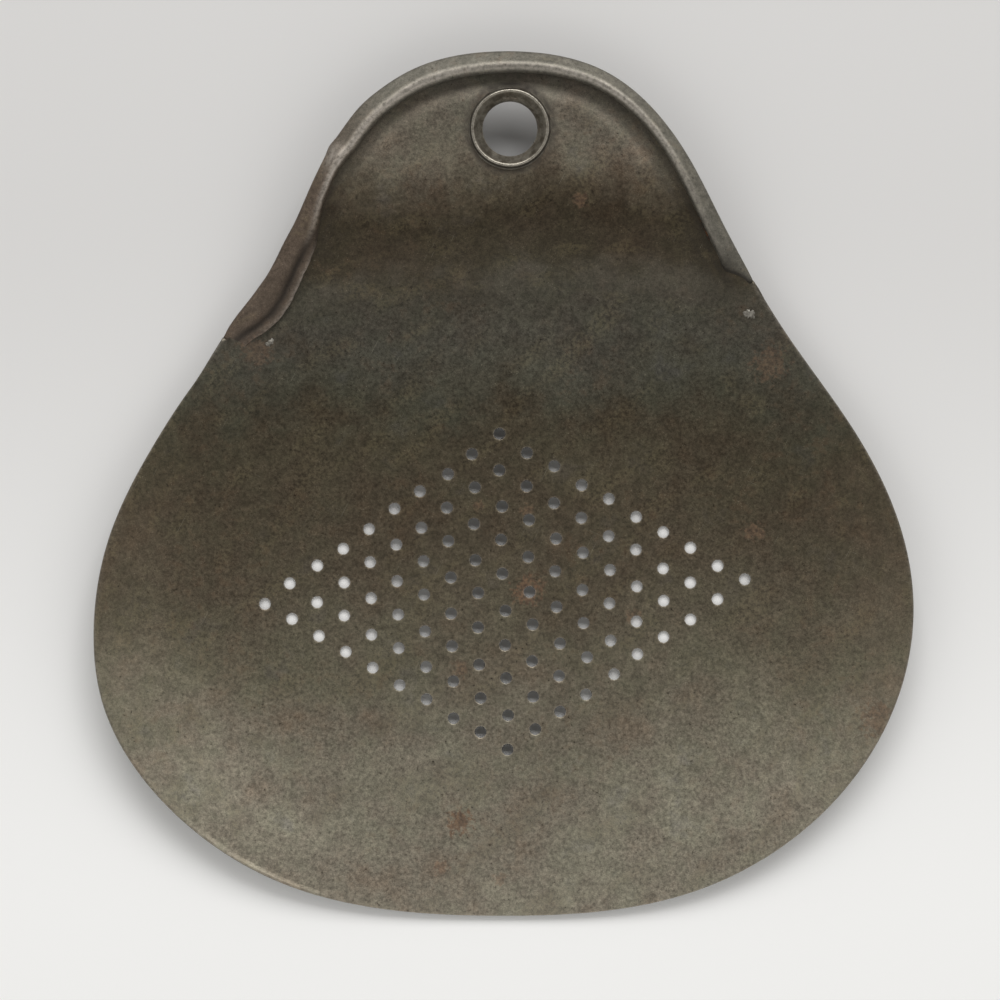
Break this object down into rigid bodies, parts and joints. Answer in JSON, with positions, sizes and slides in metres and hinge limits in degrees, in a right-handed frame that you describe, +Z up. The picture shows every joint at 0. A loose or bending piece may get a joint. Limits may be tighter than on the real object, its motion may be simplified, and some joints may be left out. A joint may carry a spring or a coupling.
{
  "type": "milk skimmer",
  "caption": "Old dished milk skimmer of tinned sheet iron: pear-shaped pan with a rhombus of strainer holes and a rolled, wired handle edge with a hanging eyelet",
  "frame": {"origin": "under the middle of the outline, at the level of the two worn spots that the pan stands on", "axes": "+Z up out of the hollow, +Y from the front edge to the hanging hole, +X to the right of that"},
  "size_m": [0.156, 0.1657, 0.0126],
  "materials": {
    "tinned_sheet": "aged tin over sheet iron, semi-matt, mottled brown grey with rust spots",
    "iron_wire": "dark drawn wire",
    "eyelet_metal": "tinned, worn bright on the crest",
    "solder": "dull grey solder"
  },
  "bodies": {
    "root": {"skimmer_pan": "tinned_sheet", "rim_wire": "iron_wire", "hanging_eyelet": "eyelet_metal", "solder_tack_left": "solder", "solder_tack_right": "solder"}
  },
  "joints": []
}
